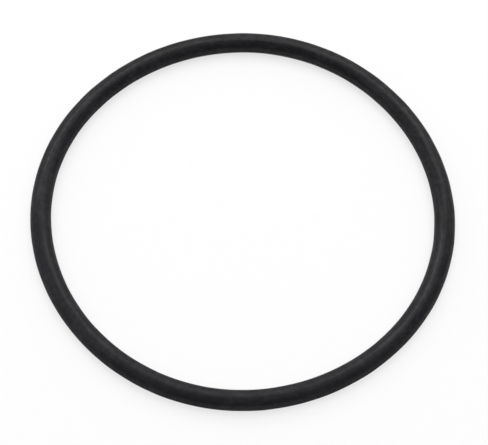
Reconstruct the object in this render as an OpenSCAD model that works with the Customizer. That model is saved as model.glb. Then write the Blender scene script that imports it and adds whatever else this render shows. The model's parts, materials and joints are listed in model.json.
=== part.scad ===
// Rubber O-ring, moulded in one piece, as it lies flat on a bench.
// The origin is the centre of the ring, in the plane that halves its section.
// +Z runs along the axis of the ring. All sizes are in millimetres.

/* [Ring] */
// Inside diameter, measured to the round of the section
inside_d = 66.27; // [20:0.01:200]
// Diameter of the round section
section_d = 3.53; // [1.5:0.01:10]

/* [Parting line] */
// Width of the trimmed flash, along the axis of the ring
flash_w = 0.12; // [0.05:0.01:0.2]
// How far the trimmed flash stands out from the round of the section
flash_h = 0.05; // [0.02:0.01:0.14]

/* [Hidden] */
// Radius of the circle that the middle of the section runs along
pitch_r = (inside_d + section_d) / 2;
// Nitrile rubber, filled with carbon black
rubber_black = "#242528";
$fn = 96;

// The cut face of the rubber: a full round, with the thin rib of flash that trimming leaves
// where the two halves of the mould met, one rib on the inside and one on the outside
module section() {
    circle(d = section_d);
    square([section_d + 2 * flash_h, flash_w], center = true);
}

module o_ring() {
    color(rubber_black)
    rotate_extrude()
    translate([pitch_r, 0])
    section();
}

o_ring();
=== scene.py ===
# A moulded nitrile rubber o-ring, lying flat on a pale bench under soft studio light.
import json
import math

import bpy
from mathutils import Matrix, Vector, noise


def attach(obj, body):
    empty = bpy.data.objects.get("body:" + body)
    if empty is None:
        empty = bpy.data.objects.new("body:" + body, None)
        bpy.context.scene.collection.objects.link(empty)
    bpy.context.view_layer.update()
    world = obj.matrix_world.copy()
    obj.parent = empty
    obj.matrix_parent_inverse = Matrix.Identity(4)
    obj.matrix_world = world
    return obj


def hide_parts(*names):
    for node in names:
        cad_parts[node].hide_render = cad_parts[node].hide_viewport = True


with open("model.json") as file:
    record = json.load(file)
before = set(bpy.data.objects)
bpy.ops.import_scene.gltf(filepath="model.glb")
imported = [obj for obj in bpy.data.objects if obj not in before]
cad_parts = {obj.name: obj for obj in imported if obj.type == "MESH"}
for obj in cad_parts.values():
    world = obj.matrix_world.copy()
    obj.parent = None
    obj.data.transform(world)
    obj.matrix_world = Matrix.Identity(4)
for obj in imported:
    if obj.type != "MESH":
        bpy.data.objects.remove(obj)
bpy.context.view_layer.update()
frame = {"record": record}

mm = 0.001  # the scene is in metres, the values below in millimetres


def linearColour(hexCode):
    # sRGB hex to the linear values that the shaders take
    parts = [int(hexCode[i:i + 2], 16) / 255 for i in (1, 3, 5)]
    linear = [c / 12.92 if c <= 0.04045 else ((c + 0.055) / 1.055) ** 2.4 for c in parts]
    return (*linear, 1.0)


def addNode(tree, kind, settings=None, inputs=None):
    # one node: its own settings, then each input as a value or as the socket that feeds it
    node = tree.nodes.new(kind)
    for name, value in (settings or {}).items():
        setattr(node, name, value)
    for name, value in (inputs or {}).items():
        if isinstance(value, bpy.types.NodeSocket):
            tree.links.new(value, node.inputs[name])
        else:
            node.inputs[name].default_value = value
    return node


def newMaterial(name):
    material = bpy.data.materials.new(name)
    material.use_nodes = True
    material.node_tree.nodes.clear()
    return material, material.node_tree


# The ring's sizes come from its two seats in the frame, which are the crests of its flash
seats = {mount["name"]: mount for mount in frame["record"]["mounts"]}
innerWall = seats["inner_seat"]["dims"]["r_mm"]
outerWall = seats["outer_seat"]["dims"]["r_mm"]

ring = {
    "flashHeight": 0.05,   # how far the trimmed flash stands out from the round section
    "flashWidth": seats["inner_seat"]["dims"]["length_mm"],
    "flashCrest": 0.7,     # its crest is flat out to this share of half its width
    "flashFoot": 1.5,      # and its soft foot ends at this one
    "flashSteps": (0, 0.55, 0.85, 1.0, 1.15, 1.5, 2.4),  # the finer steps over it, as such shares
    "flashUneven": 0.35,   # share of its height that the trimming took off here and there
    "flashWave": 3.0,      # length of that unevenness, along the ring
    "lieDepth": 0.091,     # a free rubber ring never lies quite round: how far it bulges and draws in
    "lieLobes": 4,
    "lieTurn": -11.6,      # degrees from +X to the first bulge
    "swellDepth": 0.055,   # soft unevenness of the skin, where the rubber shrank as it cured
    "swellSize": 3.4,
    "dimpleDepth": 0.011,
    "dimpleSize": 1.2,
    "stepsAlong": 1200,
    "stepsAcross": 60,     # round each section, without the flash
}
ring["section"] = outerWall - innerWall - 2 * ring["flashHeight"]
ring["pitch"] = (innerWall + outerWall) / 2


def angleOffRib(angle):
    # how far round the section the nearer rib of flash is: one is at 0, outward, and one at pi, inward
    return abs(math.remainder(angle, math.pi))


def sectionAngles():
    # even steps round the section, with finer ones where the two ribs of flash stand
    halfRib = ring["flashWidth"] / ring["section"]  # half its width, as an angle
    near = sorted({sign * step * halfRib for step in ring["flashSteps"] for sign in (-1, 1)})
    clear = 2 * ring["flashSteps"][-1] * halfRib
    angles = near + [math.pi + angle for angle in near]
    for k in range(ring["stepsAcross"]):
        angle = 2 * math.pi * k / ring["stepsAcross"]
        if angleOffRib(angle) > clear:
            angles.append(angle)
    return sorted(angle % (2 * math.pi) for angle in angles)


def ribHeight(angle, place):
    # the flash: a low rib with a flat crest and soft feet, trimmed a little unevenly
    across = angleOffRib(angle) * ring["section"] / ring["flashWidth"]  # 1 at half its width
    shape = (ring["flashFoot"] - across) / (ring["flashFoot"] - ring["flashCrest"])
    shape = min(max(shape, 0), 1)
    shape = shape * shape * (3 - 2 * shape)
    trim = 0.5 + 0.5 * noise.noise(place / ring["flashWave"])
    return ring["flashHeight"] * shape * (1 - ring["flashUneven"] * trim)


def skinHeight(place):
    # swells to both sides of the round of the section, and smaller dimples in them
    swell = ring["swellDepth"] / 2 * noise.noise(place / ring["swellSize"])
    dimple = ring["dimpleDepth"] / 2 * (noise.noise(place / ring["dimpleSize"]) - 1)
    return swell + dimple


def makeRing():
    angles = sectionAngles()
    radius = ring["section"] / 2
    points = []
    for i in range(ring["stepsAlong"]):
        theta = 2 * math.pi * i / ring["stepsAlong"]
        out = Vector((math.cos(theta), math.sin(theta), 0))
        lie = ring["lieDepth"] * math.cos(ring["lieLobes"] * (theta - math.radians(ring["lieTurn"])))
        centre = out * (ring["pitch"] + lie)
        for phi in angles:
            normal = out * math.cos(phi) + Vector((0, 0, math.sin(phi)))
            place = centre + normal * radius
            place += normal * (ribHeight(phi, place) + skinHeight(place))
            place.z = max(place.z, -radius)  # where a swell meets the bench, the rubber lies flat on it
            points.append(place * mm)
    faces = []
    across = len(angles)
    for i in range(ring["stepsAlong"]):
        here = i * across
        ahead = (i + 1) % ring["stepsAlong"] * across
        for j in range(across):
            k = (j + 1) % across
            faces.append((here + j, ahead + j, ahead + k, here + k))
    mesh = bpy.data.meshes.new("o_ring_rubber")
    mesh.from_pydata(points, [], faces)
    mesh.polygons.foreach_set("use_smooth", [True] * len(mesh.polygons))
    mesh.update()
    piece = bpy.data.objects.new("o_ring_rubber", mesh)
    bpy.context.scene.collection.objects.link(piece)
    print("ring made:", len(points), "points")
    return piece


rubber = {
    "black": "#1d1d1f",     # carbon black in nitrile rubber, a little cool
    "bloom": "#302f33",     # the grey haze of wax and sulphur that comes out on the skin
    "bloomSize": 3.2,       # mm, soft patches
    "bloomShare": 0.5,      # how much of that grey the patches reach
    "bloomFrom": 0.15,      # value of their pattern at which a patch begins
    "bloomFull": 0.42,      # and at which it is full
    "leanSide": -112,      # degrees from +X to the side that is greyer, close to the side nearest the camera
    "greyLean": 0.37,      # how much greyer that side is, over the other side
    "smudgeSize": 0.9,      # mm, finer marks of handling inside the patches
    "ior": 1.52,            # usual for nitrile rubber, and for the wax
    "specular": 0.0,        # the bare rubber is microscopically rough and mirrors nothing
    "roughness": 0.6,
    "film": 0.275,          # share of the skin that a smooth wax film covers
    "filmSpread": 0.19,     # how far that share goes up and down from smudge to smudge
    "filmFrom": 0.65,       # value of the smudges and lines at which it is least
    "filmFull": 1.35,       # and at which it is most
    "filmLean": 0.38,       # how much of that share falls away towards that greyer side
    "filmRoughness": 0.18,
    "turnedLine": 0.30,     # mm; the turned mould's tool marks are near 0.05 mm, drawn coarser to show
    "turnedLength": 5.0,    # mm that one line runs along the ring before it fades
    "turnedDepth": 0.003,   # mm
    "grain": 0.45,          # mm; the rubber's own grain is near 0.05 mm, drawn coarser so that it shows
    "grainDepth": 0.004,    # mm
}


def alongRing(tree, place):
    # four numbers that stretch a noise along the ring: two across its section, then two round its axis
    part = addNode(tree, "ShaderNodeSeparateXYZ", {}, {"Vector": place})
    flat = addNode(tree, "ShaderNodeCombineXYZ", {}, {"X": part.outputs["X"], "Y": part.outputs["Y"]})
    reach = addNode(tree, "ShaderNodeVectorMath", {"operation": "LENGTH"}, {0: flat.outputs["Vector"]})
    outward = addNode(tree, "ShaderNodeMath", {"operation": "SUBTRACT"}, {
        0: reach.outputs["Value"], 1: ring["pitch"] * mm,
    })
    around = addNode(tree, "ShaderNodeVectorMath", {"operation": "NORMALIZE"}, {0: flat.outputs["Vector"]})
    stretch = ring["pitch"] * rubber["turnedLine"] / rubber["turnedLength"] * mm
    slow = addNode(tree, "ShaderNodeVectorMath", {"operation": "SCALE"}, {
        0: around.outputs["Vector"], "Scale": stretch,
    })
    slow = addNode(tree, "ShaderNodeSeparateXYZ", {}, {"Vector": slow.outputs["Vector"]})
    across = addNode(tree, "ShaderNodeCombineXYZ", {}, {
        "X": outward.outputs[0], "Y": part.outputs["Z"], "Z": slow.outputs["X"],
    })
    return across.outputs["Vector"], slow.outputs["Y"]


def mouldedNitrileRubber():
    # Compression-moulded nitrile rubber: near black and satin, with a faint grey bloom and a thin wax film.
    # The film gives the eye soft wide highlights, which the mould's turned lines break up into finer ones
    material, tree = newMaterial("moulded nitrile rubber")
    place = addNode(tree, "ShaderNodeTexCoord").outputs["Object"]
    clouds = addNode(tree, "ShaderNodeTexNoise", {"noise_dimensions": "3D"}, {
        "Vector": place, "Scale": 1 / (rubber["bloomSize"] * mm), "Detail": 4.0, "Roughness": 0.55,
    })
    smudges = addNode(tree, "ShaderNodeTexNoise", {"noise_dimensions": "3D"}, {
        "Vector": place, "Scale": 1 / (rubber["smudgeSize"] * mm), "Detail": 3.0, "Roughness": 0.6,
    })
    haze = addNode(tree, "ShaderNodeMath", {"operation": "MULTIPLY"}, {
        0: clouds.outputs["Fac"], 1: smudges.outputs["Fac"],
    })
    patches = addNode(tree, "ShaderNodeMapRange", {"interpolation_type": "SMOOTHSTEP"}, {
        "Value": haze.outputs[0], "From Min": rubber["bloomFrom"], "From Max": rubber["bloomFull"],
        "To Min": 0.0, "To Max": rubber["bloomShare"],
    })
    # besides the patches, the rubber turns greyer towards one side, close to the side nearest the camera
    side = math.radians(rubber["leanSide"])
    toSide = addNode(tree, "ShaderNodeVectorMath", {"operation": "DOT_PRODUCT"}, {
        0: place, 1: (math.cos(side), math.sin(side), 0.0),
    })
    lean = addNode(tree, "ShaderNodeMapRange", {"interpolation_type": "SMOOTHSTEP"}, {
        "Value": toSide.outputs["Value"], "From Min": -outerWall * mm, "From Max": outerWall * mm,
        "To Min": 0.0, "To Max": rubber["greyLean"],
    })
    share = addNode(tree, "ShaderNodeMath", {"operation": "ADD"}, {
        0: patches.outputs[0], 1: lean.outputs[0],
    })
    colour = addNode(tree, "ShaderNodeMix", {"data_type": "RGBA"}, {
        "Factor": share.outputs[0],
        "A": linearColour(rubber["black"]), "B": linearColour(rubber["bloom"]),
    })
    across, slow = alongRing(tree, place)
    lines = addNode(tree, "ShaderNodeTexNoise", {"noise_dimensions": "4D"}, {
        "Vector": across, "W": slow, "Scale": 1 / (rubber["turnedLine"] * mm),
        "Detail": 1.0, "Roughness": 0.5,
    })
    streaks = addNode(tree, "ShaderNodeMath", {"operation": "ADD"}, {
        0: smudges.outputs["Fac"], 1: lines.outputs["Fac"],
    })
    cover = addNode(tree, "ShaderNodeMapRange", {}, {
        "Value": streaks.outputs[0], "From Min": rubber["filmFrom"], "From Max": rubber["filmFull"],
        "To Min": rubber["film"] - rubber["filmSpread"] / 2,
        "To Max": rubber["film"] + rubber["filmSpread"] / 2,
    })
    # and the film's share falls away towards that same side
    kept = addNode(tree, "ShaderNodeMapRange", {}, {
        "Value": toSide.outputs["Value"], "From Min": -outerWall * mm, "From Max": outerWall * mm,
        "To Min": 1.0, "To Max": 1 - rubber["filmLean"],
    })
    film = addNode(tree, "ShaderNodeMath", {"operation": "MULTIPLY"}, {
        0: cover.outputs[0], 1: kept.outputs[0],
    })
    turned = addNode(tree, "ShaderNodeBump", {}, {
        "Height": lines.outputs["Fac"], "Distance": rubber["turnedDepth"] * mm, "Strength": 1.0,
    })
    grain = addNode(tree, "ShaderNodeTexNoise", {"noise_dimensions": "3D"}, {
        "Vector": place, "Scale": 1 / (rubber["grain"] * mm), "Detail": 2.0, "Roughness": 0.5,
    })
    skin = addNode(tree, "ShaderNodeBump", {}, {
        "Height": grain.outputs["Fac"], "Distance": rubber["grainDepth"] * mm, "Strength": 1.0,
        "Normal": turned.outputs["Normal"],
    })
    shader = addNode(tree, "ShaderNodeBsdfPrincipled", {}, {
        "Base Color": colour.outputs["Result"], "Roughness": rubber["roughness"],
        "IOR": rubber["ior"], "Specular IOR Level": rubber["specular"], "Normal": skin.outputs["Normal"],
        "Coat Weight": film.outputs[0], "Coat Roughness": rubber["filmRoughness"],
        "Coat Normal": skin.outputs["Normal"],
    })
    addNode(tree, "ShaderNodeOutputMaterial", {}, {"Surface": shader.outputs["BSDF"]})
    return material


oRing = makeRing()
oRing.data.materials.append(mouldedNitrileRubber())
print("rubber finished")
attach(oRing, "root")
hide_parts("o_ring")

bench = {
    "size": 4000,
    "under": 0.01,         # below the ring, so that its flats and the bench don't share one plane
    "white": "#f9f9f9",
    "glow": 0.86,          # share of plain white that the camera sees in it, so its shadows stay pale
    "contactReach": 25,    # the white is shaded as well where the ring lies close over the bench
    "contactFrom": 0.72,   # share of open sky over the bench under which that shade begins
    "contactTone": 0.702,  # the white that is left where no sky is open
}


def whiteLaminate():
    # A white laminate bench top under a light tent: the eye gets a plain white with pale soft shadows
    # that deepen where the ring touches it
    material, tree = newMaterial("white laminate")
    surface = addNode(tree, "ShaderNodeBsdfDiffuse", {}, {"Color": linearColour(bench["white"])})
    sky = addNode(tree, "ShaderNodeAmbientOcclusion", {"samples": 8}, {
        "Distance": bench["contactReach"] * mm,
    })
    shade = addNode(tree, "ShaderNodeMapRange", {}, {
        "Value": sky.outputs["AO"], "From Min": 0.0, "From Max": bench["contactFrom"],
        "To Min": bench["contactTone"], "To Max": 1.0,
    })
    white = addNode(tree, "ShaderNodeEmission", {}, {"Color": (1, 1, 1, 1), "Strength": shade.outputs[0]})
    path = addNode(tree, "ShaderNodeLightPath")
    seen = addNode(tree, "ShaderNodeMath", {"operation": "MAXIMUM"}, {
        0: path.outputs["Is Camera Ray"], 1: path.outputs["Is Glossy Ray"],
    })
    seen = addNode(tree, "ShaderNodeMath", {"operation": "MAXIMUM"}, {
        0: seen.outputs[0], 1: path.outputs["Is Transmission Ray"],
    })
    share = addNode(tree, "ShaderNodeMath", {"operation": "MULTIPLY"}, {
        0: seen.outputs[0], 1: bench["glow"],
    })
    mixed = addNode(tree, "ShaderNodeMixShader", {}, {
        "Fac": share.outputs[0], 1: surface.outputs["BSDF"], 2: white.outputs["Emission"],
    })
    addNode(tree, "ShaderNodeOutputMaterial", {}, {"Surface": mixed.outputs["Shader"]})
    material.cycles.emission_sampling = "NONE"  # the white is for the eye and for mirrored rays, no lamp
    return material


def makeSheet(name, corners):
    # a flat or bent sheet from rows of points, in mm
    mesh = bpy.data.meshes.new(name)
    points = [Vector(corner) * mm for row in corners for corner in row]
    width = len(corners[0])
    faces = []
    for i in range(len(corners) - 1):
        for j in range(width - 1):
            here = i * width + j
            faces.append((here, here + 1, here + width + 1, here + width))
    mesh.from_pydata(points, [], faces)
    piece = bpy.data.objects.new(name, mesh)
    bpy.context.scene.collection.objects.link(piece)
    return piece


floorLevel = -ring["section"] / 2 - bench["under"]
halfBench = bench["size"] / 2
floor = makeSheet("bench_top", [
    [(-halfBench, -halfBench, floorLevel), (halfBench, -halfBench, floorLevel)],
    [(-halfBench, halfBench, floorLevel), (halfBench, halfBench, floorLevel)],
])
floor.data.materials.append(whiteLaminate())
print("bench laid:", bench["size"], "mm wide")

cards = {
    # name: azimuths from +X and heights above the bench, in degrees
    "camera_side": {"from": 208, "to": 294, "low": 1, "high": 89, "grey": "#909090"},
    "right_side": {"from": 294, "to": 379, "low": 1, "high": 62, "grey": "#bbbbbb"},
}
card = {
    "radius": 700,  # from the ring's middle
    "steps": 48,
}


def makeCard(name, span):
    # a card bent round and over the ring, which the rubber mirrors and the camera looks past
    rows = []
    for j in range(card["steps"] + 1):
        height = math.radians(span["low"] + (span["high"] - span["low"]) * j / card["steps"])
        level = floorLevel + card["radius"] * math.sin(height)
        reach = card["radius"] * math.cos(height)
        row = []
        for i in range(card["steps"] + 1):
            azimuth = math.radians(span["from"] + (span["to"] - span["from"]) * i / card["steps"])
            row.append((reach * math.cos(azimuth), reach * math.sin(azimuth), level))
        rows.append(row)
    piece = makeSheet(name, rows)
    matt, tree = newMaterial("matt card, " + name)
    surface = addNode(tree, "ShaderNodeBsdfDiffuse", {}, {"Color": linearColour(span["grey"])})
    addNode(tree, "ShaderNodeOutputMaterial", {}, {"Surface": surface.outputs["BSDF"]})
    piece.data.materials.append(matt)
    piece.visible_camera = False


for name, span in cards.items():
    makeCard(name, span)
print("cards hung:", len(cards))

lamps = {
    # name: the ends of its long middle line, its width, and its glow, where 1 is plain white
    "tube": {"from": (-270, 298, 415), "to": (-20, 298, 415), "width": 14, "glow": 14.0},
    "strip_left": {"from": (-400, 250, 325), "to": (30, 250, 325), "width": 65, "glow": 1.65},
    "strip_right": {"from": (30, 250, 325), "to": (200, 250, 325), "width": 75, "glow": 2.7},
    "back": {"from": (-1400, 954, 712), "to": (1145, 978, 712), "width": 738, "glow": 0.87},
    "overhead": {"from": (-80, 165, 437), "to": (150, 165, 437), "width": 180, "glow": 1.3},
}
tent = {
    "glow": 1.0,  # the pale cloth all round, on the same measure
}


def makeLamp(name, lamp):
    # a soft flat lamp between its two ends, turned to face the ring
    start, end = Vector(lamp["from"]) * mm, Vector(lamp["to"]) * mm
    middle = (start + end) / 2
    along = (end - start).normalized()
    away = (middle - middle.dot(along) * along).normalized()
    light = bpy.data.lights.new(name, "AREA")
    light.shape = "RECTANGLE"
    light.size, light.size_y = (end - start).length, lamp["width"] * mm
    light.energy = lamp["glow"] * math.pi * light.size * light.size_y  # watts that give its area that glow
    item = bpy.data.objects.new(name, light)
    turn = Matrix((along, away.cross(along), away)).transposed()
    item.matrix_world = Matrix.Translation(middle) @ turn.to_4x4()
    bpy.context.scene.collection.objects.link(item)


for name, lamp in lamps.items():
    makeLamp(name, lamp)
print("lamps placed:", len(lamps))


def hangTent():
    world = bpy.data.worlds.new("light tent")
    world.use_nodes = True
    world.node_tree.nodes.clear()
    cloth = addNode(world.node_tree, "ShaderNodeBackground", {}, {
        "Color": (1, 1, 1, 1), "Strength": tent["glow"],
    })
    addNode(world.node_tree, "ShaderNodeOutputWorld", {}, {"Surface": cloth.outputs["Background"]})
    bpy.context.scene.world = world


hangTent()
print("light tent set")

camera = {
    "elevation": 62.14,         # degrees above the bench
    "distance": 351.2,          # from the ring's middle
    "aim": (0.24, -1.76, 0.0),  # where the lens looks, in the ring's own plane
    "roll": 2.02,               # degrees; the photo was taken with the camera turned this much
    "lens": 149.6,
    "sensor": 36.0,
    "nearest": 10,              # what is nearer or further than these isn't drawn
    "furthest": 20000,
}


def makeCamera():
    data = bpy.data.cameras.new("camera")
    data.lens = camera["lens"]
    data.sensor_width, data.sensor_fit = camera["sensor"], "HORIZONTAL"
    data.clip_start, data.clip_end = camera["nearest"] * mm, camera["furthest"] * mm
    item = bpy.data.objects.new("camera", data)
    up = math.radians(camera["elevation"])
    item.location = Vector((0, -math.cos(up), math.sin(up))) * camera["distance"] * mm
    back = item.location - Vector(camera["aim"]) * mm
    item.rotation_mode = "QUATERNION"
    level = back.to_track_quat("Z", "Y")
    turn = Matrix.Rotation(math.radians(camera["roll"]), 3, "Z").to_quaternion()
    item.rotation_quaternion = level @ turn
    bpy.context.scene.collection.objects.link(item)
    bpy.context.scene.camera = item


makeCamera()
print("camera aimed from", camera["elevation"], "degrees up")
bpy.context.scene.view_settings.view_transform = "Standard"
